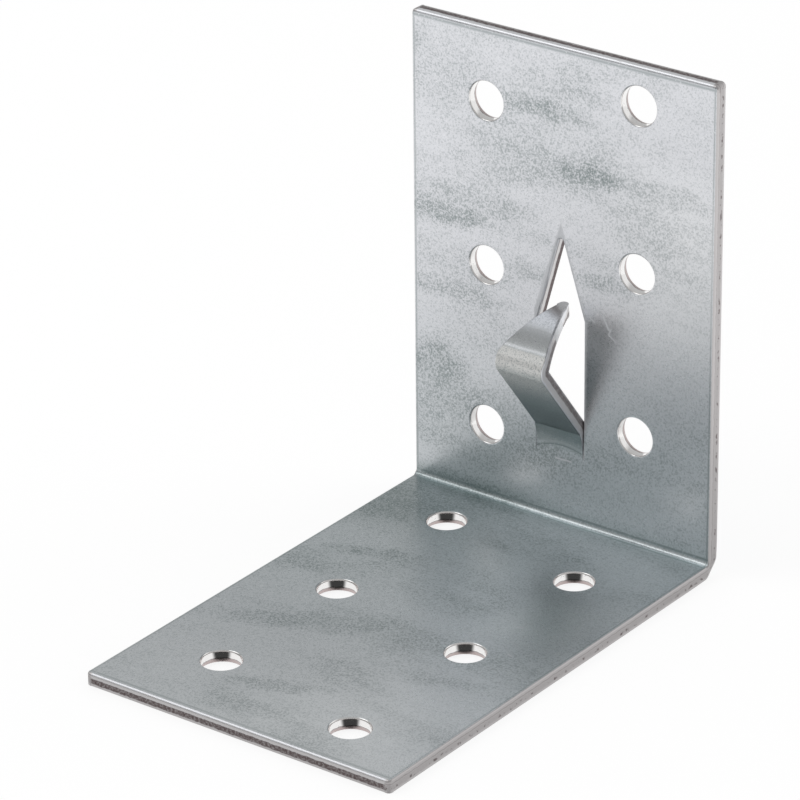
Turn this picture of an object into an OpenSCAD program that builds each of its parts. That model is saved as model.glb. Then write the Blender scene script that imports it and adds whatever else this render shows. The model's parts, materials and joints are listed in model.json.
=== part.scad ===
// Corner brace bracket. One strip of galvanised steel is folded to a right angle.
// Each leg is punched with two columns of screw holes, the right-hand column set
// further from the fold than the left. A pointed claw is lanced out of the upright
// leg, folded forward at its root and turned back over its own ridge.
//
// Millimetres. X runs along the fold, Y goes back to the upright leg, Z is up.
// The origin is on the underside, below the middle of the base leg.
// Places along a leg are measured from the outer corner of the fold.

/* [Sheet] */

// Thickness of the steel sheet
sheet_t = 1.5; // [1:0.1:2.5]

// Radius of the fold on its inner side
fold_inner_r = 0.5; // [0.3:0.1:3]

// Part of the thickness where a bend neither stretches nor shortens the sheet, from its inner side
bend_k = 0.44; // [0.3:0.01:0.5]

// Radius of the edge that the shears pulled down on the inner faces
edge_r = 0.3; // [0.1:0.05:0.45]

// Radius of the legs' free corners, seen square on
corner_r = 0.5; // [0.4:0.1:4]

/* [Legs] */

// Width of the strip, along the fold
strip_w = 40; // [34:1:80]

// Height of the upright leg, from the underside to its top edge
upright_h = 58; // [57:1:110]

// Length of the base leg, from the back face to its free edge
base_l = 60; // [58:1:110]

/* [Screw holes] */

// Diameter of the screw holes
hole_d = 4.5; // [3:0.1:6]

// Width of the lip that the punch pulled down around each hole
lip_w = 0.15; // [0.05:0.05:0.3]

// How much wider each hole breaks out on the outer face, on the radius
breakout = 0.12; // [0.05:0.01:0.25]

// Part of the thickness where the punched wall has broken out
breakout_part = 0.3; // [0.15:0.05:0.45]

// Distance between the two columns of holes
column_gap = 20; // [17:0.5:26]

// Number of holes in each column
rows = 3; // [1:1:3]

// Height of the lowest left hole above the underside
upright_first = 10.4; // [8:0.1:12]

// Distance between holes of one column in the upright leg
upright_pitch = 19.5; // [16:0.1:20]

// How much higher the right column of the upright leg sits
upright_stagger = 4; // [0:0.1:5]

// Distance of the first left hole of the base leg from the back face
base_first = 9.2; // [8:0.1:12]

// Distance between holes of one column in the base leg
base_pitch = 20.2; // [16:0.1:21]

// How much further out the right column of the base leg sits
base_stagger = 3.8; // [0:0.1:5]

/* [Claw] */

// Width of the claw
claw_w = 6.2; // [4:0.1:8]

// Width of the slit between the claw's root and the upright leg
slit_w = 0.15; // [0.1:0.05:0.4]

// Height above the underside where the slits end and the claw begins
claw_root_z = 9.6; // [8:0.1:12]

// Angle that the claw's root leans forward of the leg
lean_angle = 5; // [2:1:12]

// Length of the leaning root
root_len = 3.1; // [1.5:0.1:4]

// Further angle that the claw is folded forward above its root
claw_fold_angle = 33.3; // [20:0.1:45]

// Radius of that fold on the claw's front
claw_fold_r = 0.8; // [0.4:0.1:2]

// Straight length of the claw between the fold and the ridge
shank_len = 11.4; // [6:0.1:13]

// Angle that the claw's end is turned back over the ridge
ridge_angle = 110.3; // [80:0.1:120]

// Radius of the ridge on its inner side
ridge_r = 0.2; // [0.15:0.05:1]

// Distance that the tip stays in front of the leg's back face
tip_setback = 0.25; // [0.1:0.05:1]

// Radius of the blunt tip
tip_r = 0.45; // [0.3:0.05:0.8]

// Gap between the tip, laid flat, and the end of the window
tip_gap = 0.9; // [0.7:0.1:1.5]

// Radius of the window's sharp upper end
window_tip_r = 0.2; // [0.1:0.05:0.4]

/* [Hidden] */

$fn = 48;

steel = [0.66, 0.68, 0.69];
fold_outer_r = fold_inner_r + sheet_t;
back_y = base_l / 2;
past = 0.5;

// The flats of the claw run this far into its bends, whose faces stand proud by a hair
lap = 0.02;
proud = 0.005;

// Directions of the shank and of the pointed end, from upright towards the front
shank_lean = lean_angle + claw_fold_angle;
point_lean = shank_lean - ridge_angle;

// How far the claw's front face has come forward where each stretch ends
root_forward = root_len * sin(lean_angle);
shank_forward = root_forward + claw_fold_r * (cos(lean_angle) - cos(shank_lean)) + shank_len * sin(shank_lean);
ridge_forward = shank_forward + (ridge_r + sheet_t) * (cos(point_lean) - cos(shank_lean));

// The pointed end goes back until its lower corner is tip_setback short of the back face
point_len = (ridge_forward - sheet_t * cos(point_lean) + sheet_t - tip_setback) / -sin(point_lean);

// The window is the claw's own outline laid flat, with the slit around it
shoulder_len = root_len + flat_len(claw_fold_r, claw_fold_angle) + shank_len + flat_len(ridge_r, ridge_angle);
window_w = claw_w + 2 * slit_w;
window_point_len = point_len + tip_gap;

// Length of sheet that a bend takes up
function flat_len(inner_r, angle) = (inner_r + bend_k * sheet_t) * angle * PI / 180;

// Angle between the axis and a side that runs from half_w to touch a tip of radius r
function taper_angle(half_w, reach, r) = acos(r / norm([half_w, reach])) - atan2(reach, half_w);

bracket();

module bracket() {
    color(steel) {
        difference() {
            folded_strip();
            upright_frame() hole_grid(upright_first, upright_pitch, upright_stagger, 1);
            base_frame() hole_grid(base_first, base_pitch, base_stagger, -1);
            claw_window();
        }
        claw();
    }
}

// frames: X across the leg, Y away from the outer corner, Z from the outer face inward

module base_frame() translate([0, back_y, 0]) rotate([0, 0, 180]) children();

module upright_frame() translate([0, back_y, 0]) rotate([90, 0, 0]) children();

// the folded strip

module folded_strip() {
    base_frame() leg(base_l);
    upright_frame() leg(upright_h);
    translate([0, back_y - fold_outer_r, fold_outer_r])
        rotate([90, 0, 90]) rotate([0, 0, -90])
            rotate_extrude(angle = 90) translate([fold_outer_r, 0]) rotate(90) strip_section();
}

// Across the strip: square edges on the outer face, pulled-down edges on the inner face
module strip_section() {
    translate([-strip_w / 2, 0]) square([strip_w, sheet_t - edge_r]);
    translate([edge_r - strip_w / 2, 0]) square([strip_w - 2 * edge_r, sheet_t]);
    for (side = [-1, 1]) translate([side * (strip_w / 2 - edge_r), sheet_t - edge_r]) circle(edge_r);
}

// One flat leg from the end of the fold to its free edge at y = reach
module leg(reach) {
    intersection() {
        translate([0, reach, 0]) rotate([90, 0, 0]) linear_extrude(reach - fold_outer_r) strip_section();
        translate([-strip_w, 0, 0]) rotate([90, 0, 90]) linear_extrude(2 * strip_w) end_profile(reach);
        translate([0, 0, -past]) linear_extrude(sheet_t + 2 * past) leg_outline(reach);
    }
}

// The leg from the side, with its free end pulled down on the inner face
module end_profile(reach) {
    translate([0, -past]) square([reach, sheet_t - edge_r + past]);
    square([reach - edge_r, sheet_t]);
    translate([0, sheet_t - edge_r]) square([reach - edge_r, edge_r + past]);
    translate([reach - edge_r, sheet_t - edge_r]) circle(edge_r);
}

// The leg square on, with its two free corners rounded
module leg_outline(reach) {
    translate([-strip_w, 0]) square([2 * strip_w, reach - corner_r]);
    translate([corner_r - strip_w / 2, 0]) square([strip_w - 2 * corner_r, reach + past]);
    for (side = [-1, 1]) translate([side * (strip_w / 2 - corner_r), reach - corner_r]) circle(corner_r);
}

// screw holes

// Two columns of holes. The column on the side called far is moved out by stagger.
module hole_grid(first, pitch, stagger, far) {
    for (side = [-1, 1], row = [0:rows - 1])
        translate([side * column_gap / 2, first + row * pitch + (side == far ? stagger : 0), 0]) punched_hole();
}

// A punched hole: lip on the inner face, straight wall, breakout on the outer face
module punched_hole() {
    r = hole_d / 2;
    depth = sheet_t * breakout_part;
    translate([0, 0, -past]) cylinder(r = r, h = sheet_t + 2 * past);
    translate([0, 0, sheet_t - lip_w]) cylinder(r1 = r, r2 = r + 2 * lip_w, h = 2 * lip_w);
    translate([0, 0, -depth]) cylinder(r1 = r + 2 * breakout, r2 = r, h = 2 * depth);
}

// the claw and the window that it leaves

// A pointed plate of width w: straight for straight_len, then tapering to the tip
module pointed_plate(w, straight_len, point, r) {
    reach = point - r;
    a = taper_angle(w / 2, reach, r);
    translate([0, straight_len]) {
        polygon([[-w / 2, 0], [w / 2, 0], [r * cos(a), reach + r * sin(a)], [-r * cos(a), reach + r * sin(a)]]);
        translate([0, reach]) circle(r);
    }
    if (straight_len > 0) translate([-w / 2, 0]) square([w, straight_len]);
}

module claw_window() {
    upright_frame() translate([0, claw_root_z, -past]) linear_extrude(sheet_t + 2 * past)
        pointed_plate(window_w, shoulder_len, window_point_len, window_tip_r);
}

// The claw, stretch after stretch, from its root in the upright leg
module claw() {
    translate([0, back_y - sheet_t, claw_root_z]) {
        straight(sheet_t * sin(lean_angle));
        rotate([lean_angle, 0, 0]) {
            straight(root_len);
            translate([0, 0, root_len]) {
                bend_forward(claw_fold_r, claw_fold_angle);
                after_forward(claw_fold_r, claw_fold_angle) {
                    straight(shank_len);
                    translate([0, 0, shank_len]) {
                        bend_back(ridge_r, ridge_angle);
                        after_back(ridge_r, ridge_angle) point();
                    }
                }
            }
        }
    }
}

// The stretches run along Z with their front face at y = 0 and their back at y = sheet_t

module straight(len) translate([-claw_w / 2, 0, -lap]) cube([claw_w, sheet_t, len + 2 * lap]);

module point() translate([0, sheet_t, 0]) rotate([90, 0, 0]) linear_extrude(sheet_t) {
    pointed_plate(claw_w, 0, point_len, tip_r);
    translate([-claw_w / 2, -lap]) square([claw_w, lap]);
}

module bend(r, angle) rotate_extrude(angle = angle)
    translate([r - proud, -claw_w / 2]) square([sheet_t + 2 * proud, claw_w]);

module bend_forward(r, angle) translate([0, -r, 0]) rotate([90, 0, 90]) bend(r, angle);

module bend_back(r, angle)
    translate([0, sheet_t + r, 0]) rotate([90, 0, 90]) rotate([0, 0, 180 - angle]) bend(r, angle);

module after_forward(r, angle) translate([0, -r, 0]) rotate([angle, 0, 0]) translate([0, r, 0]) children();

module after_back(r, angle)
    translate([0, sheet_t + r, 0]) rotate([-angle, 0, 0]) translate([0, -sheet_t - r, 0]) children();
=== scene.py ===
import json
import math

import bmesh
import bpy
from bpy.props import FloatProperty, FloatVectorProperty, IntProperty, PointerProperty
from mathutils import Matrix, Vector


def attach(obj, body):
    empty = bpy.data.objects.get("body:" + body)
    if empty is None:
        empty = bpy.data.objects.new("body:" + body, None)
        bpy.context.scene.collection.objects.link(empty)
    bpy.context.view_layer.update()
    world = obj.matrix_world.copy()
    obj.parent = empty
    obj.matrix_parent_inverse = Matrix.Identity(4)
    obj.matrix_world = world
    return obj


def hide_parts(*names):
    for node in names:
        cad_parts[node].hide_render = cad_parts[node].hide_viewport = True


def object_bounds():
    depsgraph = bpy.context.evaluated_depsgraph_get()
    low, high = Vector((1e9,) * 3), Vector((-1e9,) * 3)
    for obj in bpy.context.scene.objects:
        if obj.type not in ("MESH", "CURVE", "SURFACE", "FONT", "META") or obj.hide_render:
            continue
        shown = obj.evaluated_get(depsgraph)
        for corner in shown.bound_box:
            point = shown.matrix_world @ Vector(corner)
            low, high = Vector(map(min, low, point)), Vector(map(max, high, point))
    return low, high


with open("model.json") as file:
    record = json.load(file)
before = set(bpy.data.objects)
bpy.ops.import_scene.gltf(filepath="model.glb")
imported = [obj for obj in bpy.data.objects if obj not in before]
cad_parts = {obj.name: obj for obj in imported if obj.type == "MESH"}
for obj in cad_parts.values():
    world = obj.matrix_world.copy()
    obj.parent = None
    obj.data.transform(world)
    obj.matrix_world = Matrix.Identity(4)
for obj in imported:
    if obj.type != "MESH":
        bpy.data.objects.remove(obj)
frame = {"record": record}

bl_info = {
    "name": "Corner Brace",
    "version": (1, 0, 0),
    "blender": (4, 5, 0),
    "location": "3D View > Sidebar > Brace",
    "description": "Models a folded, punched and lanced corner brace of galvanised steel",
    "category": "Add Mesh",
}

MM = 0.001
CAD_LOW, CAD_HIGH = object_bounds()
MOUNTS = {mount["name"]: mount for mount in frame["record"]["mounts"]}
COLUMNS = ("base_left", "base_right", "upright_left", "upright_right")
X, Y, Z = Vector((1, 0, 0)), Vector((0, 1, 0)), Vector((0, 0, 1))


def size(name, description, value):
    """A length in metres, given in millimetres."""
    return FloatProperty(
        name=name, description=description, default=value * MM, min=0, precision=5, unit="LENGTH")


def spot(name, description, value):
    """A place in metres."""
    return FloatVectorProperty(name=name, description=description, default=value, unit="LENGTH")


def angle(name, description, degrees):
    return FloatProperty(name=name, description=description, default=math.radians(degrees), subtype="ANGLE")


def share(name, description, value):
    return FloatProperty(name=name, description=description, default=value, min=0, max=1, subtype="FACTOR")


def colour(name, description, value):
    return FloatVectorProperty(
        name=name, description=description, default=value, size=3, min=0, max=1, subtype="COLOR")


def count(name, description, value):
    return IntProperty(name=name, description=description, default=value, min=1)


class BraceSheet(bpy.types.PropertyGroup):
    """Sizes of the folded strip"""

    width: size("Width", "Width of the strip, along the fold", (CAD_HIGH.x - CAD_LOW.x) / MM)
    upright: size("Upright", "Height of the upright leg", (CAD_HIGH.z - CAD_LOW.z) / MM)
    base: size("Base", "Length of the base leg", (CAD_HIGH.y - CAD_LOW.y) / MM)
    thickness: size("Thickness", "Thickness of the sheet", 1.5)
    fold_radius: size("Fold radius", "Radius of the fold on its inner side", 0.5)
    bend_share: share("Bend share", "Part of the thickness, from inside, that bends keep in length", 0.44)
    fold_steps: count("Fold steps", "Faces round the fold", 16)
    bulge: size("Bulge", "How far squeezed metal stands out at the ends of the fold", 0.14)
    neck: size("Neck", "How far stretched metal draws in at the ends of the fold", 0.3)


class BraceHoles(bpy.types.PropertyGroup):
    """Sizes of the punched holes"""

    breakout: size("Breakout", "Extra radius where a hole breaks out on the outer face", 0.12)
    breakout_part: share("Breakout part", "Part of the thickness where the wall has broken out", 0.3)
    sides: count("Sides", "Faces round a hole", 64)
    lip_steps: count("Lip steps", "Faces across the rolled lip", 5)


class BraceClaw(bpy.types.PropertyGroup):
    """Sizes of the lanced claw and its window"""

    width: size("Width", "Width of the claw", 6.2)
    slit: size("Slit", "Width of the slit beside the claw", 0.02)
    root_z: size("Root height", "Height of the slits' lower ends", 9.6)
    stub: size("Stub", "Upright stretch of the claw before it leans", 0.15)
    lean: angle("Lean", "Angle that the root leans forward at its end", 18)
    lean_radius: size("Lean radius", "Radius of the long bend that the root leans in", 9.3)
    root_length: size("Root length", "Straight length of the root past that bend", 0.1)
    fold: angle("Fold", "Further angle that the claw is folded forward", 20.3)
    fold_radius: size("Fold radius", "Radius of that fold on the claw's front", 0.8)
    shank: size("Shank", "Straight length between the fold and the ridge", 11.4)
    ridge: angle("Ridge", "Angle that the end is turned back over the ridge", 90)
    bow: angle("Bow", "Further angle that the pointed end curves back by", 34)
    ridge_radius: size("Ridge radius", "Radius of the ridge on its inner side", 0.2)
    tip_width: size("Tip width", "Width of the blunt tip", 0.9)
    tip_setback: size("Tip setback", "Distance from the tip to the leg's back face", 0.25)
    tip_gap: size("Tip gap", "Gap between the tip, laid flat, and the end of the window", 0.4)
    left_shoulder: size("Left shoulder", "How much lower the window narrows on its left side", 1.2)
    window_tip: size("Window tip", "Width of the window's sharp upper end", 0.4)


class BraceEdges(bpy.types.PropertyGroup):
    """Sizes of the edges that the tools left"""

    corner: size("Corner", "Radius of the free corners, seen square on", 0.5)
    sheared: size("Sheared", "Radius of the pulled-down edge at the legs' free ends", 0.42)
    slitted: size("Slitted", "Radius of the pulled-down edges along the strip's two sides", 0.25)
    punched: size("Punched", "Radius of the lip round each hole", 0.22)
    window: size("Window", "Radius of the window's front rim", 0.3)
    claw: size("Claw", "Radius of the claw's front edges", 0.14)
    sharp: size("Sharp", "Radius of the sharp edges", 0.045)
    slit: size("Slit", "Radius of the edges along the closed slits", 0.012)
    margin: size("Margin", "Width of the plain border that the edges are rounded on", 2)
    corner_margin: size("Corner margin", "How far from a free corner its outer rims stay unrounded", 0.65)
    steps: count("Steps", "Faces across each edge", 4)


class BraceFinish(bpy.types.PropertyGroup):
    """Colours of the finish"""

    zinc: colour("Zinc", "Clean zinc", (0.735, 0.745, 0.775))
    # Also the colour of painted highlights: round the window, along the right slit, above the crease and on
    # the top edge
    bright_zinc_and_highlight: colour("Bright zinc", "Zinc where it has stayed brightest", (0.87, 0.88, 0.90))
    # Also the colour of painted shade: lines inside the edges, beside the fold and at the crease, and on
    # the claw
    dull_zinc_and_shade: colour("Dull zinc", "Zinc under its dull, speckled bloom", (0.262, 0.302, 0.305))
    # The darkest painted shade, on the claw's front, most at its root
    shaded_zinc: colour("Shaded zinc", "Zinc in the grime at the claw's foot", (0.125, 0.15, 0.155))
    worn: colour("Worn", "Zinc that the die has scuffed over the ridge", (0.80, 0.80, 0.785))
    burnish: colour("Burnish", "Sheared metal that the blade has rubbed", (0.66, 0.645, 0.645))
    polish: colour("Polish", "Hole walls that the punch has polished", (0.86, 0.85, 0.84))
    fracture: colour("Fracture", "Torn steel with no zinc on it", (0.17, 0.135, 0.135))
    burr: colour("Burr", "Zinc-smeared burr at the outer face", (0.56, 0.54, 0.54))
    smeared: colour("Smeared", "Torn steel that zinc has been dragged over", (0.47, 0.445, 0.44))
    torn_rose: colour("Torn rose", "Torn steel at the foot of a hole's wall", (0.52, 0.44, 0.43))
    patina: colour("Patina", "Tint of the zinc on the base leg and the upright's foot", (0.95, 1.0, 0.99))
    roughness: share("Roughness", "Roughness of the zinc", 0.29)
    cut: share("Cut roughness", "Roughness of the sheared and lanced walls", 0.28)
    torn: share("Torn roughness", "How much rougher their torn steel is", 0.22)


class BraceStage(bpy.types.PropertyGroup):
    """Camera, floor and light"""

    camera_place: spot("Camera place", "Where the camera stands", (0.28533, -0.38084, 0.25219))
    azimuth: angle("Azimuth", "How far round the camera stands from the front", 36.91)
    elevation: angle("Elevation", "How far the camera looks down", 25.31)
    roll: angle("Roll", "How far the camera is turned on its axis", -0.61)
    lens: FloatProperty(name="Lens", description="Focal length", default=224.66, min=1, unit="CAMERA")
    floor: size("Floor", "Side of the square floor", 6000)
    sky: share("Sky", "Level of the surroundings that the metal mirrors", 0.49)
    sky_slope: share("Sky slope", "How much lighter the room is behind than in front", 0.07)
    window: share("Window", "How much lighter the room is behind the brace, to its right", 0.38)
    lamp: spot("Lamp", "Where the lamp hangs", (-0.57, -0.41, 0.83))
    lamp_side: size("Lamp side", "Side of the square lamp", 600)
    lamp_watts: FloatProperty(
        name="Lamp power", description="Power of the lamp", default=1.25, min=0, unit="POWER")
    # The black card under the camera is painted shade in the room, which the metal mirrors
    shade_card: angle("Card", "Half the angle that the black card under the camera spans", 46)


class Part:
    """The add-on's settings on the scene, by name."""

    def __getattr__(self, name):
        return getattr(bpy.context.scene, "brace_" + name)


part = Part()
BRACE = "folded_brace"

# How far the tips' corners are rounded, as a share of the tip's width
TIP_ROUNDING = 0.44

# Points closer than this are taken for one
WELD = 0.001 * MM

# Straight pieces that stand for each bend of the claw where a depth is measured
LINE_STEPS = 16

# How far round the ridge its outside is scuffed most, as a share of its turn
RIDGE_MIDDLE = 0.62

# Height of the bumps that the finishes draw
BUMP = 0.05 * MM

# The floor's own level to the camera, and what it adds where the lamp reaches it
FLOOR_LEVEL, FLOOR_LIT = 0.82, 0.3

# Levels of the floor in the metal, close to the brace and 60 mm away from it; the lower one is painted
# shade round the brace
MIRRORED_LEVELS = (0.70, 1.06)

# Softness of the edge of the black card of painted shade, on a scale of cosines
SHADE_CARD_EDGE = 0.16

# Dull clouds on the upright leg, in millimetres: x, z, half length, half height, strength
CLOUDS = (
    (-3.5, 50.2, 7, 1.5, 0.9),
    (3, 43.9, 5.5, 1.8, 1),
    (12.5, 43.6, 6.5, 1.7, 0.6),
    (-15.5, 35, 6.5, 1.5, 0.9),
    (-8.5, 37.2, 5, 1.8, 0.55),
    (13, 37.8, 6.5, 2, 0.6),
    (6, 31.6, 4.5, 1.3, 0.6),
    (-5, 30.6, 3.5, 1.3, 0.5),
    (-14, 25.8, 6.5, 1.5, 0.65),
    (-17, 16, 4.5, 3.2, 0.8),
    (-13, 12, 9, 4, 0.55),
    (-14, 51, 7, 4, 0.40),
)

# Dull clouds on the base leg: x, y, half length, half height, strength, all turned by one angle
BASE_CLOUDS = (
    (-12.4, 9.8, 6, 1.5, 0.7),
    (-8, -7.4, 11, 2.4, 0.50),
    (-1.1, -3.4, 6, 2.2, 0.55),
    (-1.2, -20.3, 7, 1.6, 0.6),
    (13, -9.5, 6.5, 1.5, 0.55),
)
BASE_CLOUD_TURN = math.radians(22)

# Light scratches on the upright leg, and a painted highlight along the right slit: x, z of their ends, half
# width, all in millimetres
UPRIGHT_SCRATCHES_AND_HIGHLIGHT = (
    (5.64, 27.83, 6.38, 26.35, 0.10),
    (6.71, 26.44, 6.40, 25.76, 0.09),
    (6.40, 25.76, 7.35, 25.11, 0.09),
    (3.9, 27.2, 4.5, 26.8, 0.08),
    (-0.52, 8.92, 1.51, 8.97, 0.09),
    # A painted highlight along the edge of the right slit
    (3.2, 9.5, 3.2, 11.8, 0.07),
)

# Light scratches on the base leg: x, y of their ends, half width
BASE_SCRATCHES = (
    (18.82, -24.11, 18.91, -23.02, 0.06),
    (18.91, -23.02, 19.60, -22.80, 0.06),
    (13.9, -0.9, 14.5, -1.1, 0.08),
    (11.1, 4.8, 11.7, 4.9, 0.08),
)


# Work on the mesh, as by hand

def deselect():
    """Leaves edit mode, with nothing selected."""
    if bpy.context.object and bpy.context.object.mode == "EDIT":
        bpy.ops.object.mode_set(mode="OBJECT")
    bpy.ops.object.select_all(action="DESELECT")


def select_only(*pieces):
    deselect()
    for piece in pieces:
        piece.select_set(True)
    bpy.context.view_layer.objects.active = pieces[0]


def work_on(piece):
    """Goes into edit mode on this piece alone, with no face selected."""
    select_only(piece)
    bpy.ops.object.mode_set(mode="EDIT")
    bpy.ops.mesh.select_mode(type="FACE")
    bpy.ops.mesh.select_all(action="DESELECT")


def pick(kind, items, holds):
    """Selects the faces or edges for which a test holds."""
    mesh = bpy.context.object.data
    work = bmesh.from_edit_mesh(mesh)
    bpy.ops.mesh.select_mode(type=kind)
    found = 0
    for item in items(work):
        chosen = bool(holds(item))
        item.select_set(chosen)
        found += chosen
    bmesh.update_edit_mesh(mesh)
    if not found:
        raise RuntimeError(f"no {kind.lower()} was found to work on")


def pick_faces(test):
    """Selects the faces for which test(centre, normal) holds."""
    pick("FACE", lambda work: work.faces, lambda face: test(face.calc_center_median(), face.normal))


def pick_facing(direction):
    pick_faces(lambda centre, normal: normal.dot(direction) > 0.9)


def pick_edges(test):
    """Selects the edges for which test(one end, other end) holds."""
    pick("EDGE", lambda work: work.edges, lambda edge: test(*(v.co for v in edge.verts)))


def near(a, b, reach=0.02 * MM):
    return abs(a - b) < reach


def settle(name):
    """Names the new object, and puts its place and size into its mesh."""
    piece = bpy.context.object
    piece.name = piece.data.name = name
    bpy.ops.object.transform_apply(location=True, rotation=True, scale=True)
    return piece


def add_block(name, low, high):
    """A block between two corners."""
    deselect()
    bpy.ops.mesh.primitive_cube_add(size=1, location=(low + high) / 2, scale=high - low)
    return settle(name)


def extrude(offset):
    bpy.ops.mesh.extrude_region_move(TRANSFORM_OT_translate={"value": offset})


def spin(centre, turn, steps):
    """Spins the picked faces about an axis along the fold. The operator turns the other way."""
    bpy.ops.mesh.spin(steps=steps, angle=-turn, center=centre, axis=X)


def apply_modifier(piece, kind, **settings):
    """Adds a modifier to the piece, sets it and applies it."""
    select_only(piece)
    modifier = piece.modifiers.new(kind.lower(), kind)
    for name, value in settings.items():
        setattr(modifier, name, value)
    bpy.ops.object.modifier_apply(modifier=modifier.name)


def cut_away(piece, cutter):
    """Cuts the cutter out of the piece, and throws the cutter away."""
    apply_modifier(piece, "BOOLEAN", operation="DIFFERENCE", solver="EXACT", object=cutter)
    bpy.data.objects.remove(cutter)


# The folded strip

def fold_outer():
    """Radius of the fold on its outer side."""
    return part.sheet.fold_radius + part.sheet.thickness


def fold_strip():
    """The upright leg, spun round the fold and drawn out into the base leg."""
    sheet = part.sheet
    back, outer, half = CAD_HIGH.y, fold_outer(), sheet.width / 2
    low = Vector((-half, back - sheet.thickness, outer))
    strip = add_block(BRACE, low, Vector((half, back, sheet.upright)))
    work_on(strip)
    pick_facing(-Z)
    spin((0, back - outer, outer), -math.pi / 2, sheet.fold_steps)
    pick_faces(lambda centre, normal: normal.y < -0.9 and centre.z < sheet.thickness)
    extrude(-Y * (sheet.base - outer))
    divide_strip()
    middle = Vector((0, back - outer, outer))
    ease_fold(middle, sheet.fold_radius, sheet.bulge)
    ease_fold(middle, outer, -sheet.neck)
    deselect()


def divide_strip():
    """Cuts between the holes and along the borders, so that each hole has a face of its own."""
    sheet, outer, half = part.sheet, fold_outer(), part.sheet.width / 2
    margin, near_corner = part.edges.margin, part.edges.corner_margin
    column = abs(MOUNTS["base_left_near_holes"]["pos_m"][0])
    for side in (-1, 1):
        divide(X, side * column / 2, side * (half - margin), side * (half - near_corner))
    divide(Z, sheet.upright - near_corner, sheet.upright - margin, outer + margin, root_top())
    divide(Y, CAD_LOW.y + near_corner, CAD_LOW.y + margin, CAD_HIGH.y - outer - margin)
    for leg, axis in (("base", Y), ("upright", Z)):
        for which in ("near", "far"):
            pairs = (MOUNTS[f"{leg}_{side}_{which}_holes"] for side in ("left", "right"))
            divide(axis, sum(axis.dot(pair["pos_m"]) for pair in pairs) / 2)


def root_top():
    """Height where the claw's root ends and its rims start to be rolled."""
    claw = part.claw
    return claw.root_z + claw.stub + claw.lean_radius * math.sin(claw.lean)


def divide(axis, *places):
    """Cuts the whole strip across an axis at each place."""
    for place in places:
        bpy.ops.mesh.select_all(action="SELECT")
        bpy.ops.mesh.bisect(plane_co=axis * place, plane_no=axis, threshold=WELD)


def ease_fold(middle, radius, stand_out):
    """Widens the strip, or narrows it, round the middle of one side of the fold, fading along the side."""
    line = middle + Vector((0, 1, -1)).normalized() * radius

    def on_line(point):
        return near(point.y, line.y) and near(point.z, line.z)

    pick_edges(lambda a, b: on_line(a) and on_line(b))
    widen = 1 + 2 * stand_out / part.sheet.width
    bpy.ops.transform.resize(
        value=(widen, 1, 1), center_override=(0, 0, 0), use_proportional_edit=True,
        proportional_edit_falloff="SMOOTH", proportional_size=radius, use_proportional_connected=True)


# The punched holes

def hole_places():
    """Each hole's centre on the outer face, and the direction in which its screw goes out."""
    for column in COLUMNS:
        upright = column.startswith("upright")
        away, out = (Z, -Y) if upright else (-Y, Z)
        pairs = [MOUNTS[f"{column}_{which}_holes"] for which in ("near", "far")]
        half_gap = away * pairs[0]["dims"]["spacing_y_mm"] * MM / 2
        near_pair, far_pair = (Vector(pair["pos_m"]) for pair in pairs)
        for place in (near_pair - half_gap, near_pair + half_gap, far_pair + half_gap):
            yield Vector((place.x, CAD_HIGH.y, place.z)) if upright else Vector((place.x, place.y, 0)), out


def punch_profile():
    """Radius and height of the rings of a punch above its base: burr, break, wall and rolled lip."""
    sheet, holes, edges = part.sheet, part.holes, part.edges
    radius = MOUNTS["base_left_near_holes"]["dims"]["hole_r_mm"] * MM
    yield radius + holes.breakout, edges.sharp
    yield radius, sheet.thickness * holes.breakout_part
    for step in range(holes.lip_steps + 1):
        turn = math.pi / 2 * step / holes.lip_steps
        round_off = edges.punched * (1 - math.cos(turn))
        yield radius + round_off, sheet.thickness - edges.punched * (1 - math.sin(turn))
    yield radius + edges.punched, 2 * sheet.thickness


def make_punch(name):
    """The space of one hole, standing on the floor, drawn up ring by ring."""
    sheet, holes, edges = part.sheet, part.holes, part.edges
    rings = list(punch_profile())
    width = rings[0][0] + edges.sharp
    deselect()
    bpy.ops.mesh.primitive_cylinder_add(
        vertices=holes.sides, radius=width, depth=sheet.thickness, location=(0, 0, -sheet.thickness / 2))
    punch = settle(name)
    work_on(punch)
    pick_facing(Z)
    height = 0
    for radius, top in rings:
        extrude(Z * (top - height))
        bpy.ops.transform.resize(value=(radius / width, radius / width, 1), center_override=(0, 0, 0))
        width, height = radius, top
    deselect()
    return punch


def punch_holes():
    """Twelve holes, cut in one go by a punch that is modelled once and copied."""
    brace = bpy.data.objects[BRACE]
    master = make_punch("punch")
    punches = []
    for place, out in hole_places():
        punch = master.copy()
        punch.data = master.data.copy()
        bpy.context.scene.collection.objects.link(punch)
        turn = Z.rotation_difference(out).to_matrix().to_4x4()
        punch.data.transform(Matrix.Translation(place) @ turn)
        punches.append(punch)
    bpy.data.objects.remove(master)
    select_only(*punches)
    bpy.ops.object.join()
    cut_away(brace, punches[0])


# The claw and its window

def point_radius(front, lean):
    """Radius of the pointed end's front, which curves back to the setback from the leg's back face."""
    sheet, claw = part.sheet, part.claw
    last = lean - claw.bow
    reach = CAD_HIGH.y - claw.tip_setback - sheet.thickness * math.cos(last) - front.y
    return reach / (math.cos(lean) - math.cos(last))


def window_heights():
    """Heights of the window's shoulder and tip: the claw's own stretches, laid flat."""
    sheet, claw = part.sheet, part.claw
    middle = sheet.thickness * sheet.bend_share
    bends = ((claw.lean, claw.lean_radius), (claw.fold, claw.fold_radius), (claw.ridge, claw.ridge_radius))
    flat = sum(turn * (radius + middle) for turn, radius in bends)
    shoulder = claw.root_z + claw.stub + flat + claw.root_length + claw.shank
    front, lean = ridge_end()
    point = claw.bow * (point_radius(front, lean) - sheet.thickness + middle)
    return shoulder, shoulder + point + claw.tip_gap


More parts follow.
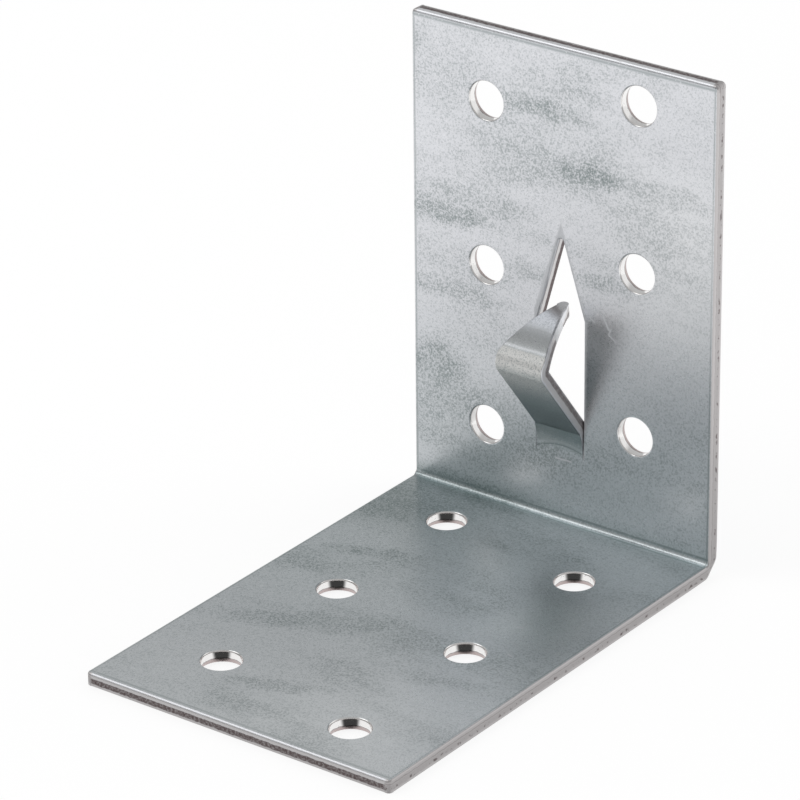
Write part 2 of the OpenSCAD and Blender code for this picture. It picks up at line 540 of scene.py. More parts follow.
def cut_window():
    """The claw's own outline laid flat, with slits beside the stub that the claw grows from."""
    sheet, claw = part.sheet, part.claw
    half = claw.width / 2 + claw.slit
    back = CAD_HIGH.y
    low = Vector((-half, back - 2 * sheet.thickness, claw.root_z + claw.stub))
    shoulder, tip = window_heights()
    high = Vector((half, back + sheet.thickness, shoulder))
    cutter = add_block("window", low, high)
    work_on(cutter)
    pick_facing(Z)
    extrude(Z * (tip - shoulder))
    bpy.ops.transform.resize(value=(claw.window_tip / (2 * half), 1, 1), center_override=(0, 0, 0))
    pick_edges(lambda *ends: all(near(end.z, shoulder) and near(end.x, -half) for end in ends))
    bpy.ops.transform.translate(value=-Z * claw.left_shoulder)
    pick_edges(lambda a, b: near(a.z, tip) and near(b.z, tip) and near(a.x, b.x))
    bpy.ops.mesh.bevel(offset=claw.window_tip * TIP_ROUNDING, segments=5, affect="EDGES")
    for side in (-1, 1):
        pick_facing(-Z)
        bpy.ops.mesh.bisect(plane_co=(side * claw.width / 2, 0, 0), plane_no=X, threshold=WELD)
    pick_faces(lambda centre, normal: normal.z < -0.9 and abs(centre.x) > claw.width / 2)
    extrude(-Z * claw.stub)
    cut_away(bpy.data.objects[BRACE], cutter)


def along(lean):
    """The direction in which a stretch of the claw runs, at its lean from upright."""
    return Vector((0, -math.sin(lean), math.cos(lean)))


def to_front(lean):
    return Vector((0, -math.cos(lean), -math.sin(lean)))


def walk_claw():
    """The claw from the stub up: each bend's centre, turn and faces, each straight's offset."""
    sheet, claw = part.sheet, part.claw
    front, lean = Vector((0, CAD_HIGH.y - sheet.thickness, claw.root_z + claw.stub)), 0.0
    bends = (
        (claw.lean, claw.lean_radius, 10, claw.root_length),
        (claw.fold, claw.fold_radius, 8, claw.shank),
    )
    for turn, radius, steps, straight in bends:
        centre = front + to_front(lean) * radius
        lean += turn
        front = centre - to_front(lean) * radius + along(lean) * straight
        yield "bend", centre, turn, steps
        yield "straight", along(lean) * straight, 0, 1
    outer = claw.ridge_radius + sheet.thickness
    centre = front - to_front(lean) * outer
    yield "ridge", centre, -claw.ridge, 20
    lean -= claw.ridge
    front = centre + to_front(lean) * outer
    yield "point", front - to_front(lean) * point_radius(front, lean), -claw.bow, 10


def ridge_centre():
    """The axis that the ridge is bent round."""
    return next(step[1] for step in walk_claw() if step[0] == "ridge")


def ridge_end():
    """Where the front face comes off the ridge, and the lean of the pointed end there."""
    claw = part.claw
    lean = claw.lean + claw.fold - claw.ridge
    return ridge_centre() + to_front(lean) * (claw.ridge_radius + part.sheet.thickness), lean


def front_line():
    """Points along the claw's front face in its middle up to the tip, close enough to measure from."""
    sheet, claw = part.sheet, part.claw
    points = [Vector((0, CAD_HIGH.y - sheet.thickness, claw.root_z + claw.stub))]
    for kind, value, turn, _ in walk_claw():
        if kind == "straight":
            points.append(points[-1] + value)
            continue
        part_turn = Matrix.Rotation(turn / LINE_STEPS, 3, "X")
        for _ in range(LINE_STEPS):
            points.append(value + part_turn @ (points[-1] - value))
    return points


def lance_claw():
    """The claw, drawn out of the stub's top face bend after bend, as the die formed it."""
    claw = part.claw
    cut_window()
    work_on(bpy.data.objects[BRACE])

    def on_stub(centre, normal):
        return normal.z > 0.9 and near(centre.z, claw.root_z + claw.stub) and abs(centre.x) < claw.width / 2

    pick_faces(on_stub)
    for kind, value, turn, steps in walk_claw():
        if kind == "straight":
            extrude(value)
        elif kind == "point":
            taper_back(value, turn, steps)
        else:
            spin(value, turn, steps)
    tip = front_line()[-1]
    lean = claw.lean + claw.fold - claw.ridge - claw.bow

    def at_tip(point):
        return near((point - tip).dot(along(lean)), 0) and abs(point.x) < claw.tip_width

    pick_edges(lambda a, b: at_tip(a) and at_tip(b) and near(a.x, b.x))
    bpy.ops.mesh.bevel(offset=claw.tip_width * TIP_ROUNDING, segments=5, affect="EDGES")
    deselect()


def taper_back(centre, turn, steps):
    """Spins the picked face on step by step, and narrows it evenly to the tip's width."""
    claw = part.claw
    width = claw.width
    for step in range(1, steps + 1):
        spin(centre, turn / steps, 1)
        narrower = claw.width + (claw.tip_width - claw.width) * step / steps
        bpy.ops.transform.resize(value=(narrower / width, 1, 1), center_override=(0, 0, 0))
        width = narrower


# The edges that the tools left

def on_claw(point, heights):
    """Whether a point belongs to the claw, and not to the leg or the window's wall."""
    claw = part.claw
    shoulder, tip = heights
    reach = (claw.width + claw.slit) / 2 if point.z < shoulder else claw.tip_width
    return abs(point.x) < reach and claw.root_z + claw.stub < point.z < (shoulder + tip) / 2


def depth_of(point, line, heights):
    """How deep a point lies below the sheet's inner face, through its thickness."""
    sheet = part.sheet
    back, outer = CAD_HIGH.y, fold_outer()
    if on_claw(point, heights):
        return line_distance(point, line)
    if point.z > outer:
        return point.y - (back - sheet.thickness)
    if point.y < back - outer:
        return sheet.thickness - point.z
    return math.hypot(point.y - back + outer, point.z - outer) - sheet.fold_radius


def on_ridge(point):
    """1 on the outside of the claw's ridge, fading to 0 on either side of it."""
    claw = part.claw
    away = in_profile(point - ridge_centre())
    if abs(point.x) > claw.width or away.length > claw.ridge_radius + part.sheet.thickness + 0.4 * MM:
        return 0.0
    middle = claw.lean + claw.fold - claw.ridge * RIDGE_MIDDLE
    off = away.angle(to_front(middle), 0) / claw.ridge * 2
    return max(0.0, min(1.0, (1.5 - off) / 0.4))


def in_profile(point):
    """The point, moved along the fold to the brace's middle."""
    return Vector((0, point.y, point.z))


def line_distance(point, line):
    """Distance from a point to a line of points, seen along the fold."""
    best = 1.0
    flat = in_profile(point)
    for a, b in zip(line, line[1:]):
        step = b - a
        share_along = max(0.0, min(1.0, (flat - a).dot(step) / step.length_squared))
        best = min(best, (flat - a - step * share_along).length)
    return best


def close_to_tip(point, line):
    """Whether a point lies at the end of the claw, on its front or on its underside."""
    ends = (line[-1], line[-1] - Z * part.sheet.thickness)
    return any((in_profile(point) - end).length < part.claw.tip_width for end in ends)


def at_free_corner(point):
    """Whether a point lies where a free corner's outer rims stay unrounded."""
    sheet, margin = part.sheet, part.edges.corner_margin
    at_end = point.z > sheet.upright - margin or point.y < CAD_LOW.y + margin
    return at_end and abs(point.x) > sheet.width / 2 - margin


def edge_radius(a, b, line, heights):
    """The radius that the tools left on the sharp edge between two points."""
    sheet, claw, edges = part.sheet, part.claw, part.edges
    middle = (a + b) / 2
    side = all(near(abs(point.x), sheet.width / 2, 2 * sheet.neck) for point in (a, b))
    end = near(middle.z, sheet.upright) or near(middle.y, CAD_LOW.y)
    if side and end:
        return edges.corner
    inner = max(depth_of(a, line, heights), depth_of(b, line, heights)) < 0.02 * MM
    if side or end:
        if inner:
            return edges.sheared if end else edges.slitted
        return 0 if at_free_corner(middle) else edges.sharp
    at_window = abs(middle.x) < claw.width and middle.z > claw.root_z + claw.stub * 1.5
    if not at_window or close_to_tip(middle, line):
        return 0
    if not inner:
        return edges.sharp
    if middle.z < root_top():
        return edges.slit
    return edges.claw if on_claw(middle, heights) else edges.window


def edge_weights():
    """Gives each sharp edge its radius, as a share of the widest, for one bevel over all of them."""
    brace = bpy.data.objects[BRACE]
    line, heights = front_line(), window_heights()
    work = bmesh.new()
    work.from_mesh(brace.data)
    weight = work.edges.layers.float.new("bevel_weight_edge")
    for edge in work.edges:
        if len(edge.link_faces) == 2 and edge.calc_face_angle() > math.radians(30):
            ends = (v.co for v in edge.verts)
            edge[weight] = edge_radius(*ends, line, heights) / part.edges.corner
    work.to_mesh(brace.data)
    work.free()


def soften_edges():
    """Rounds every sharp edge by what its tool leaves."""
    brace = bpy.data.objects[BRACE]
    edge_weights()
    edges = part.edges
    apply_modifier(
        brace, "BEVEL", limit_method="WEIGHT", width=edges.corner, segments=edges.steps,
        use_clamp_overlap=False)
    work_on(brace)
    bpy.ops.mesh.select_all(action="SELECT")
    bpy.ops.mesh.remove_doubles(threshold=WELD)
    bpy.ops.mesh.normals_make_consistent(inside=False)
    select_only(brace)
    bpy.ops.object.shade_smooth_by_angle(angle=math.radians(40), keep_sharp_edges=False)
    apply_modifier(brace, "WEIGHTED_NORMAL", keep_sharp=True)


def mark_points():
    """Marks how many millimetres deep each point lies, and which points are on the ridge or the claw."""
    brace = bpy.data.objects[BRACE]
    line, heights = front_line(), window_heights()
    marks = {
        "depth": lambda point: depth_of(point, line, heights) / MM,
        "ridge": on_ridge,
        "claw": lambda point: float(on_claw(point, heights)),
    }
    for name, value_at in marks.items():
        mark = brace.data.attributes.new(name, "FLOAT", "POINT")
        mark.data.foreach_set("value", [value_at(v.co) for v in brace.data.vertices])


# Shader maths

class Value:
    """A socket of a material, so that shader maths reads as arithmetic."""

    def __init__(self, tree, socket):
        self.tree, self.socket = tree, socket

    def maths(self, operation, *others):
        return make(self.tree, "Math", {"operation": operation}, dict(enumerate((self, *others))))

    def __add__(self, other):
        return self.maths("ADD", other)

    def __sub__(self, other):
        return self.maths("SUBTRACT", other)

    def __rsub__(self, other):
        return make(self.tree, "Math", {"operation": "SUBTRACT"}, {0: other, 1: self})

    def __mul__(self, other):
        return self.maths("MULTIPLY", other)

    def __truediv__(self, other):
        return self.maths("DIVIDE", other)

    __radd__, __rmul__ = __add__, __mul__

    def most(self, other):
        return self.maths("MAXIMUM", other)

    def least(self, other):
        return self.maths("MINIMUM", other)

    def rise(self, low, high):
        """0 below low, 1 above high and smooth between them."""
        return make(
            self.tree, "MapRange", {"interpolation_type": "SMOOTHSTEP"},
            {"Value": self, "From Min": low, "From Max": high})

    def fall(self, low, high):
        return 1 - self.rise(low, high)

    def band(self, low, high, soft):
        return self.rise(low - soft, low + soft) * self.fall(high - soft, high + soft)


def make(tree, kind, settings=None, sockets=None, output=0):
    """Adds a node, sets it, feeds its sockets with values or links, and returns one of its outputs."""
    node = tree.nodes.new("ShaderNode" + kind)
    for name, value in (settings or {}).items():
        setattr(node, name, value)
    for name, value in (sockets or {}).items():
        if isinstance(value, Value):
            tree.links.new(value.socket, node.inputs[name])
        else:
            node.inputs[name].default_value = value
    return Value(tree, node.outputs[output]) if node.outputs else None


def mix(tree, factor, a, b):
    """Colour a where factor is 0 and colour b where it is 1."""
    a, b = (value if isinstance(value, Value) else (*value, 1) for value in (a, b))
    return make(tree, "Mix", {"data_type": "RGBA"}, {0: factor, 6: a, 7: b}, 2)


def abs_of(value):
    return value.maths("ABSOLUTE")


class Paint:
    """A new material on Object coordinates, with the patterns that this object's finishes need."""

    def __init__(self, name):
        self.material = bpy.data.materials.new(name)
        self.material.use_nodes = True
        self.tree = self.material.node_tree
        self.tree.nodes.clear()
        place = self.make("TexCoord", output="Object")
        self.place = self.make("VectorMath", {"operation": "SCALE"}, {0: place, "Scale": 1 / MM})
        self.x, self.y, self.z = (self.make("SeparateXYZ", {}, {0: self.place}, axis) for axis in "XYZ")

    def make(self, kind, settings=None, sockets=None, output=0):
        return make(self.tree, kind, settings, sockets, output)

    def noise(self, scale, detail, roughness, stretch=(1, 1, 1), shift=(0, 0, 0)):
        place = self.make("Mapping", {}, {"Vector": self.place, "Location": shift, "Scale": stretch})
        sockets = {"Vector": place, "Scale": scale, "Detail": detail, "Roughness": roughness}
        return self.make("TexNoise", {}, sockets)

    def mix(self, factor, a, b):
        return mix(self.tree, factor, a, b)

    def mix_shaders(self, factor, a, b):
        return self.make("MixShader", {}, {0: factor, 1: a, 2: b})

    def tint(self, factor, base, colour):
        """The base colour, multiplied by another where factor is 1."""
        sockets = {0: factor, 6: base, 7: (*colour, 1)}
        return self.make("Mix", {"data_type": "RGBA", "blend_type": "MULTIPLY"}, sockets, 2)

    def attribute(self, name):
        return self.make("Attribute", {"attribute_name": name}, output="Fac")

    def on_base(self):
        """1 on the base leg and 0 above it."""
        return self.z.fall(2, 4)

    def inner_face(self):
        """1 on the sheet's inner face and 0 on its walls and its outer face."""
        return self.attribute("depth").fall(0.1, 0.3)

    def wall_depth(self, scale=1.1):
        """Depth in a cut wall, shifted here and there, so that the bands on the wall wander."""
        return self.attribute("depth") + 0.35 * (self.noise(scale, 3, 0.6) - 0.5)

    def zinc_specks(self):
        """1 on the specks of zinc that the blade has dragged over torn steel."""
        return self.noise(3.5, 3, 0.7).rise(0.42, 0.66)

    def output(self, surface):
        self.make("OutputMaterial", {}, {"Surface": surface})
        return self.material

    def finish(self, base, roughness, height, strength):
        """Metal of this colour and roughness, with bumps where the height varies."""
        bumps = {"Height": height, "Strength": strength, "Distance": BUMP}
        sockets = {"Base Color": base, "Roughness": roughness, "Metallic": 1.0}
        sockets["Normal"] = self.make("Bump", {}, bumps, "Normal")
        return self.output(self.make("BsdfPrincipled", {}, sockets))


def blot(ragged, across, up, low, high):
    """1 inside an ellipse with a ragged edge, given how far out a point lies across and up."""
    return (across * across + up * up + 3.5 * ragged).fall(low, high)


def clouds(paint):
    """The dull clouds on both legs, and faint streaks among them."""
    ragged = paint.noise(0.35, 4, 0.65) - 0.5
    streaks = paint.noise(0.13, 4, 0.55, stretch=(0.4, 1, 1)).rise(0.42, 0.72)
    total = streaks * (0.6 - 0.55 * paint.x.band(8, 18, 3) * paint.y.band(2, 13, 3))
    on_upright, on_base = paint.y.rise(27.6, 28.4), paint.on_base()
    for x, z, half_length, half_height, strength in CLOUDS:
        across, up = (paint.x - x) / half_length, (paint.z - z) / half_height
        total = total.most(blot(ragged, across, up, -0.5, 2.0) * strength * on_upright)
    cos, sin = math.cos(BASE_CLOUD_TURN), math.sin(BASE_CLOUD_TURN)
    for x, y, half_length, half_height, strength in BASE_CLOUDS:
        out_x, out_y = paint.x - x, paint.y - y
        across, up = (out_x * cos + out_y * sin) / half_length, (out_y * cos - out_x * sin) / half_height
        total = total.most(blot(ragged, across, up, -0.3, 1.5) * strength * on_base)
    return total


def scratch_and_highlight_lines(paint, lines, height):
    """1 on thin scratches and painted highlight lines between pairs of points, in the plane of x and the
    given coordinate.
    """
    total = None
    for x_a, h_a, x_b, h_b, half_width in lines:
        step_x, step_h = x_b - x_a, h_b - h_a
        length = step_x * step_x + step_h * step_h
        away_x, away_h = paint.x - x_a, height - h_a
        along_it = ((away_x * step_x + away_h * step_h) / length).most(0).least(1)
        off_x, off_h = away_x - along_it * step_x, away_h - along_it * step_h
        off = (off_x * off_x + off_h * off_h).maths("SQRT")
        line = off.fall(half_width * 0.5, half_width * 1.5)
        total = line if total is None else total.most(line)
    return total


def window_rim_highlight(paint):
    """1 on the front face in a narrow band round the window, a painted highlight on the rim that the die
    has pulled over.
    """
    claw = part.claw
    shoulder, tip = (height / MM for height in window_heights())
    half, tip_half = claw.width / 2 / MM, claw.window_tip / 2 / MM
    slope = Vector((tip - shoulder, half - tip_half)).normalized()
    across = abs_of(paint.x) - half
    away = across.most(across * slope.x + (paint.z - shoulder) * slope.y)
    front = paint.y.rise(28.2, 28.4) * paint.attribute("depth").fall(0.3, 0.5)
    on_leg = 1 - paint.attribute("claw")
    above_root = paint.z.rise(root_top() / MM, root_top() / MM + 1)
    return away.fall(0.30, 0.55) * above_root * front * on_leg


def painted_crease_line(paint, low, high, soft):
    """A line along the shallow, curved crease that the die left across the claw's root, for its painted
    shade and highlight.
    """
    off = paint.x - 0.5
    line = paint.z - (10.67 - 0.065 * off * off)
    across = abs_of(paint.x).fall(2.9, 3.15) * paint.y.rise(26, 27)
    return line.band(low, high, soft) * across


def claw_point(paint):
    """1 on the claw's pointed end."""
    start = ridge_end()[0].z / MM
    return paint.z.rise(start + 0.3, start + 0.8) * paint.attribute("claw")


def claw_shade(paint):
    """Painted shade on the claw's front: most at its root, less up the straight and at the tip."""
    root = root_top() / MM
    bend = paint.z.rise(9.8, 10.8) * (1 - 0.35 * paint.z.fall(10.5, root))
    straight = 0.93 - 0.24 * paint.z.rise(root, 19)
    point = claw_point(paint)
    lower = bend * straight * (1 - point) * paint.attribute("claw")
    return lower.most(point * (0.74 - 0.40 * paint.y.rise(ridge_end()[0].y / MM + 1, 27)))


def rim_shade(paint):
    """A line of painted shade on the inner faces just inside the edges that the shears pulled down."""
    sides = CAD_HIGH.x / MM - abs_of(paint.x)
    ends = (CAD_HIGH.z / MM - paint.z).least(paint.y - CAD_LOW.y / MM)
    line = sides.band(0.25, 0.42, 0.10).most(ends.band(0.42, 0.75, 0.18))
    return line * paint.inner_face()


def fold_shade(paint):
    """Lines of painted shade on the inner faces, on both sides of the fold."""
    sheet = part.sheet
    upright = (CAD_HIGH.y - sheet.thickness) / MM
    away = (upright - paint.y).most(paint.z - sheet.thickness / MM)
    return away.band(0.52, 0.82, 0.12) * paint.inner_face()


def dullness_and_shade(paint, cloud, speckle):
    """How far the zinc has dulled in clouds and specks, with painted shade on the claw, beside folds and
    edges.
    """
    at_back = 0.13 * paint.y.rise(2, 24) + 0.20 * paint.y.rise(12, 20) * paint.x.fall(-12, -2)
    dull = speckle * (0.39 + 0.48 * cloud) + 0.17 * cloud
    dull = dull + paint.on_base() * (0.16 * paint.x.fall(-6, 12) + at_back)
    # Painted shade: inside the edges, on the claw, at the crease and beside the fold
    dull = dull.most(rim_shade(paint) * 0.7).most(claw_shade(paint) * (0.85 + 0.3 * speckle))
    return dull.most(painted_crease_line(paint, -0.10, 0.16, 0.13) * 0.95).most(fold_shade(paint) * 0.75)


def lighter_zinc_and_painted_light(paint):
    """Where the zinc is lighter: at the base leg's front and right, and on the upright's right."""
    lightening = 0.75 * paint.y.fall(-34, -6) + 1.1 * paint.x.rise(-10, 20) * paint.y.fall(-38, 22)
    # A patch of painted light on the base, where it mirrors the claw
    lightening = paint.on_base() * (lightening + paint.x.band(9, 17, 3) * paint.y.band(3, 12, 3))
    return lightening.least(1).most(paint.z.band(24, 45, 6) * paint.x.rise(2, 18))


def scratches_and_painted_highlights(paint):
    """1 on the scratches of both inner faces and a painted highlight along the right slit, less on one
    above the crease.
    """
    on_base = paint.on_base()
    marks = scratch_and_highlight_lines(paint, UPRIGHT_SCRATCHES_AND_HIGHLIGHT, paint.z) * (1 - on_base)
    marks = marks.most(scratch_and_highlight_lines(paint, BASE_SCRATCHES, paint.y) * on_base)
    return marks.most(0.15 * painted_crease_line(paint, 0.25, 0.5, 0.1)) * paint.inner_face()


def galvanised():
    """Zinc on the sheet's two faces: a light ground, speckle gathering into dull clouds, painted shade and
    highlights.
    """
    finish = part.finish
    paint = Paint("galvanised_sheet")
    cloud = clouds(paint)
    fine = paint.noise(5.0, 4, 0.8)
    grain = paint.noise(9.0, 2, 0.6)
    speckle = fine.rise(0.50 - 0.10 * cloud, 0.60 - 0.06 * cloud)
    # Lighter at the base's front and right and on the upright's right, with a patch of painted light
    lightening = lighter_zinc_and_painted_light(paint)
    base = paint.mix(lightening, finish.zinc, finish.bright_zinc_and_highlight)
    # Duller in clouds and specks, and darker with painted shade
    dull = dullness_and_shade(paint, cloud, speckle) * (1 - 0.32 * lightening)
    base = paint.mix(dull.least(1), base, finish.dull_zinc_and_shade)
    flecks = paint.noise(3.6, 2, 0.7, shift=(7, 3, 5)).rise(0.61, 0.68)
    base = paint.mix(0.45 * flecks, base, finish.bright_zinc_and_highlight)
    # Painted shade on the claw's front, darkest at its root
    base = paint.mix(0.7 * claw_shade(paint).rise(0.45, 0.9), base, finish.shaded_zinc)
    aged = paint.z.fall(4, 30) * (0.65 + paint.on_base() * (0.35 - 0.45 * paint.y.fall(-20, 10)))
    base = paint.tint(aged, base, finish.patina)
    base = paint.mix(0.3 * claw_point(paint), base, finish.burnish)
    ridge = (paint.attribute("ridge") + 1.2 * (fine - 0.5)).rise(0.35, 0.6)
    base = paint.mix(ridge, base, paint.mix(speckle * 0.55, finish.worn, finish.dull_zinc_and_shade))
    # A painted highlight round the window's rim
    rim = window_rim_highlight(paint)
    base = paint.mix(0.85 * rim, base, finish.bright_zinc_and_highlight)
    # Scratches, with painted highlights along the right slit and above the crease
    marks = scratches_and_painted_highlights(paint)
    base = paint.mix(marks, base, finish.bright_zinc_and_highlight)
    rubbed = (0.25 * ridge).most(0.5 * rim).most(0.5 * marks)
    roughness = finish.roughness + 0.14 * (grain - 0.5) + 0.08 * cloud + rubbed
    return paint.finish(base, roughness, grain + fine, 0.15)


def sheared():
    """Walls that the shears cut: zinc, a polished band, a torn one and a burr."""
    finish = part.finish
    paint = Paint("sheared_wall")
    depth, specks = paint.wall_depth(), paint.zinc_specks()
    torn = depth.band(0.58, 1.20, 0.05)
    shine = depth.band(0.20, 0.58, 0.06)
    # On the upright's top edge the polished band is painted brighter, a painted highlight
    top = paint.z.rise(57, 57.3)
    wall = paint.mix(shine, finish.zinc, paint.mix(top, finish.burnish, finish.bright_zinc_and_highlight))
    wall = paint.mix(depth.rise(1.15, 1.25), wall, finish.burr)
    base = paint.mix(torn, wall, paint.mix(specks * 0.6, finish.fracture, finish.burr))
    dashes = paint.noise(1.5, 3, 0.6).rise(0.54, 0.60) * depth.band(0.85, 1.15, 0.06)
    line = (0.6 * depth.band(0.42, 0.50, 0.05)).most(0.8 * dashes)
    long_side = paint.mix(line, finish.burr, finish.fracture)
    base = paint.mix(abs_of(paint.x).rise(19.2, 19.5), base, long_side)
    roughness = finish.cut + finish.torn * torn + 0.25 * top * shine + 0.07 * paint.on_base()
    return paint.finish(base, roughness, specks * torn, 0.3)


def lanced():
    """The claw's and the window's walls: a polished band, then torn steel down to the outer face."""
    finish = part.finish
    paint = Paint("lanced_wall")
    depth, specks, claw = paint.wall_depth(), paint.zinc_specks(), paint.attribute("claw")
    torn = depth.rise(0.72, 0.86) * (1 - 0.7 * claw * depth.rise(1.25, 1.4))
    wall = paint.mix(depth.rise(0.15, 0.25), finish.zinc, finish.burnish)
    steel = paint.mix(claw * 0.5, finish.fracture, finish.smeared)
    base = paint.mix(torn, wall, paint.mix(specks * (0.15 + 0.4 * claw), steel, finish.burr))
    return paint.finish(base, finish.cut + finish.torn * torn, specks * torn, 0.3)


def punched():
    """Hole walls: bright where the punch has polished them, a dark line, then pinkish torn steel."""
    finish = part.finish
    paint = Paint("punched_wall")
    depth = paint.wall_depth(0.9)
    streaks = paint.noise(2.2, 3, 0.7)
    torn = depth.rise(1.02, 1.10)
    wall = paint.mix(streaks.rise(0.60, 0.70) * 0.5, finish.polish, finish.dull_zinc_and_shade)
    wall = paint.mix(torn, wall, finish.torn_rose)
    base = paint.mix(depth.band(0.96, 1.05, 0.03) * 0.85, wall, finish.fracture)
    return paint.finish(base, 0.10 + 0.06 * streaks + 0.25 * torn, streaks * torn, 0.25)


def in_hole(point):
    """Whether a point of the mesh lies on the wall or the lip of a screw hole."""
    reach = MOUNTS["base_left_near_holes"]["dims"]["hole_r_mm"] * MM + part.edges.punched + 0.02 * MM
    for place, out in hole_places():
        away = point - place
        if (away - out * away.dot(out)).length < reach and abs(away.dot(out)) < 2 * part.sheet.thickness:
            return True
    return False


def in_window(point):
    """Whether a point lies on a wall of the claw or the window."""
    claw = part.claw
    highest = (CAD_HIGH.z + window_heights()[1]) / 2
    return abs(point.x) < claw.width and claw.root_z < point.z < highest


def paint_faces():
    """Gives the sheet's two faces the zinc, and every cut wall the finish that its tool left."""
    brace = bpy.data.objects[BRACE]
    brace.data.materials.clear()
    for finish in (galvanised, sheared, punched, lanced):
        brace.data.materials.append(finish())
    sheet, edge, hole, window = range(4)
    depths = brace.data.attributes["depth"].data
    for face in brace.data.polygons:
        mean_depth = sum(depths[v].value for v in face.vertices) / len(face.vertices)
        if mean_depth < 0.03 or mean_depth > part.sheet.thickness / MM - 0.02:
            face.material_index = sheet
        elif in_hole(face.center):
            face.material_index = hole
        else:
            face.material_index = window if in_window(face.center) else edge


# The stage

def floor_paint():
    """White to the camera, with the brace's shadow. It glows in the metal, with painted shade near the
    brace, and is clear below it.
    """
    paint = Paint("pale_floor")
    outside = (abs_of(paint.x) - CAD_HIGH.x / MM).most(abs_of(paint.y) - CAD_HIGH.y / MM)
    white = paint.make("Emission", {}, {"Color": (1, 1, 1, 1), "Strength": FLOOR_LEVEL})
    lit = paint.make("BsdfDiffuse", {}, {"Color": (FLOOR_LIT, FLOOR_LIT, FLOOR_LIT, 1)})
    seen = paint.make("AddShader", {}, {0: white, 1: lit})
    # Painted shade: the floor is darker in the metal close to the brace
    shade = paint.mix(outside.rise(-5, 60), *([level] * 3 for level in MIRRORED_LEVELS))
    glow = paint.make("Emission", {}, {"Color": shade, "Strength": 1})
    # Below the brace the metal sees through the floor to the room, with its black card of painted shade
    clear = paint.make("BsdfTransparent")
    mirrored = paint.mix_shaders(outside.rise(-3, 2), clear, glow)
    matt = paint.make("BsdfDiffuse", {}, {"Color": (0.8, 0.8, 0.8, 1)})
    surface = paint.mix_shaders(paint.make("LightPath", output="Is Camera Ray"), matt, seen)
    glossy = paint.make("LightPath", output="Is Glossy Ray")
    return paint.output(paint.mix_shaders(glossy, surface, mirrored))


def lay_floor():
    """The floor, a hair below the brace."""
    deselect()
    bpy.ops.mesh.primitive_plane_add(size=part.stage.floor, location=(0, 0, -0.02 * MM))
    floor = bpy.context.object
    floor.name = "floor"
    floor.data.materials.append(floor_paint())


def light_world():
    """White to the camera. The metal mirrors a grey room above, and white below with a black card of
    painted shade.
    """
    stage = part.stage
    world = bpy.data.worlds.new("room")
    bpy.context.scene.world = world
    world.use_nodes = True
    tree = world.node_tree
    tree.nodes.clear()
    direction = make(tree, "TexCoord", output="Generated")
    x, y, z = (make(tree, "SeparateXYZ", {}, {0: direction}, axis) for axis in "XYZ")
    level_part = (x * x + y * y).maths("SQRT")
    to_camera = (x * math.sin(stage.azimuth) - y * math.cos(stage.azimuth)) / level_part
    edge = math.cos(stage.shade_card)
    shade_card = to_camera.rise(edge - SHADE_CARD_EDGE, edge + SHADE_CARD_EDGE)
    above = stage.sky + stage.sky_slope * y + stage.window * x.rise(0.05, 0.45) * y.rise(0.2, 0.6)
    room = above + (1 - above - 0.95 * shade_card) * z.fall(-0.04, 0.02)
    camera = make(tree, "LightPath", output="Is Camera Ray")
    shade = mix(tree, room.most(camera), (0, 0, 0), (1, 1, 1))
    back = make(tree, "Background", {}, {"Color": shade, "Strength": 1})
    make(tree, "OutputWorld", {}, {"Surface": back})


def hang_lamp():
    """One large soft lamp, in front of the brace, to its left and above it."""
    stage = part.stage
    lamp = bpy.data.lights.new("soft_lamp", "AREA")
    lamp.shape = "SQUARE"
    lamp.size = stage.lamp_side
    lamp.energy = stage.lamp_watts
    holder = bpy.data.objects.new("soft_lamp", lamp)
    holder.location = stage.lamp
    holder.rotation_euler = (-Vector(stage.lamp)).to_track_quat("-Z", "Y").to_euler()
    bpy.context.scene.collection.objects.link(holder)


def stand_camera():
    """The camera where the photograph was taken from."""
    stage = part.stage
    camera = bpy.data.objects.new("camera", bpy.data.cameras.new("camera"))
    camera.data.lens = stage.lens
    camera.data.sensor_width = 36
    camera.data.clip_start = 0.01
    around = Matrix.Rotation(stage.azimuth, 4, "Z")
    down = Matrix.Rotation(math.pi / 2 - stage.elevation, 4, "X")
    roll = Matrix.Rotation(stage.roll, 4, "Z")
    camera.matrix_world = Matrix.Translation(stage.camera_place) @ around @ down @ roll
    bpy.context.scene.collection.objects.link(camera)
    bpy.context.scene.camera = camera


def set_stage():
    stand_camera()
    lay_floor()
    light_world()
    hang_lamp()
    bpy.context.scene.view_settings.view_transform = "Standard"


# The add-on

class BRACE_OT_fold_strip(bpy.types.Operator):
    """Model the folded strip of sheet steel"""

    bl_idname = "brace.fold_strip"
    bl_label = "Fold Strip"

    def execute(self, context):
        fold_strip()
        return {"FINISHED"}


class BRACE_OT_punch_holes(bpy.types.Operator):
    """Punch the twelve screw holes"""

    bl_idname = "brace.punch_holes"
    bl_label = "Punch Holes"

    def execute(self, context):
        punch_holes()
        return {"FINISHED"}


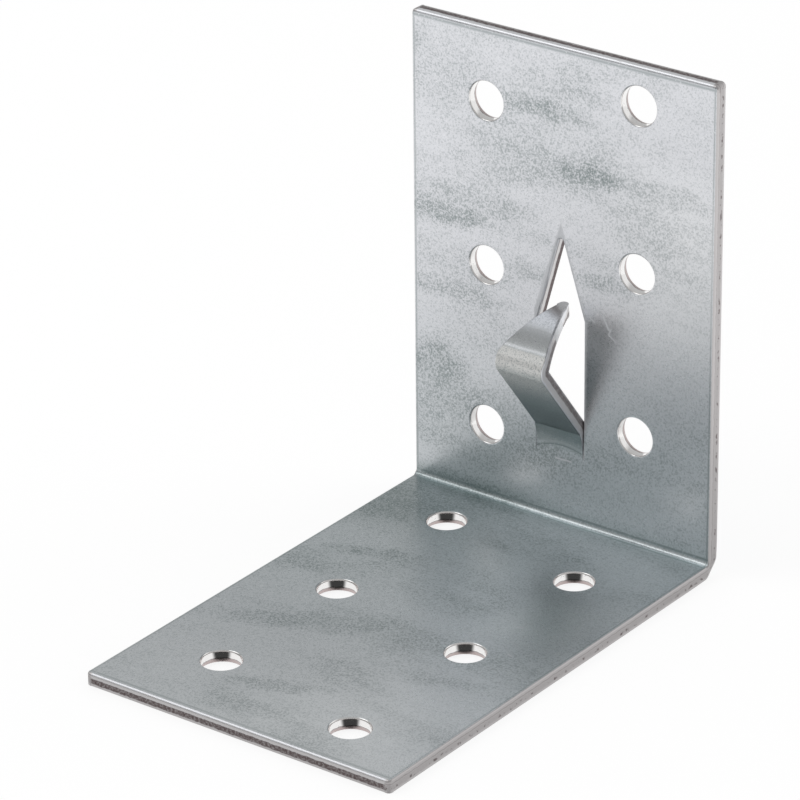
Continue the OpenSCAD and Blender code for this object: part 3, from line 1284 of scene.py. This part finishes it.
class BRACE_OT_lance_claw(bpy.types.Operator):
    """Cut the window and draw the claw out of it"""

    bl_idname = "brace.lance_claw"
    bl_label = "Lance Claw"

    def execute(self, context):
        lance_claw()
        return {"FINISHED"}


class BRACE_OT_finish_brace(bpy.types.Operator):
    """Round the edges, paint the faces and put the piece on its frame"""

    bl_idname = "brace.finish_brace"
    bl_label = "Finish Brace"

    def execute(self, context):
        soften_edges()
        mark_points()
        paint_faces()
        brace = bpy.data.objects[BRACE]
        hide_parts("bracket")
        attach(brace, "root")
        return {"FINISHED"}


class BRACE_OT_set_stage(bpy.types.Operator):
    """Set up the floor, the light and the camera"""

    bl_idname = "brace.set_stage"
    bl_label = "Set Stage"

    def execute(self, context):
        set_stage()
        return {"FINISHED"}


SETTINGS = {
    "brace_sheet": BraceSheet,
    "brace_holes": BraceHoles,
    "brace_claw": BraceClaw,
    "brace_edges": BraceEdges,
    "brace_finish": BraceFinish,
    "brace_stage": BraceStage,
}
OPERATORS = (
    BRACE_OT_fold_strip,
    BRACE_OT_punch_holes,
    BRACE_OT_lance_claw,
    BRACE_OT_finish_brace,
    BRACE_OT_set_stage,
)


class BRACE_PT_sidebar(bpy.types.Panel):
    """The brace's steps and sizes in the sidebar"""

    bl_label = "Corner Brace"
    bl_space_type = "VIEW_3D"
    bl_region_type = "UI"
    bl_category = "Brace"

    def draw(self, context):
        for operator in OPERATORS:
            self.layout.operator(operator.bl_idname)
        for name, group in SETTINGS.items():
            box = self.layout.box()
            for field in group.__annotations__:
                box.prop(getattr(context.scene, name), field)


CLASSES = (*SETTINGS.values(), *OPERATORS, BRACE_PT_sidebar)
register_classes, unregister_classes = bpy.utils.register_classes_factory(CLASSES)


def register():
    register_classes()
    for name, group in SETTINGS.items():
        setattr(bpy.types.Scene, name, PointerProperty(type=group))


def unregister():
    for name in SETTINGS:
        delattr(bpy.types.Scene, name)
    unregister_classes()


def main():
    register()
    bpy.ops.brace.fold_strip()
    bpy.ops.brace.punch_holes()
    bpy.ops.brace.lance_claw()
    bpy.ops.brace.finish_brace()
    bpy.ops.brace.set_stage()


if __name__ == "__main__":
    main()
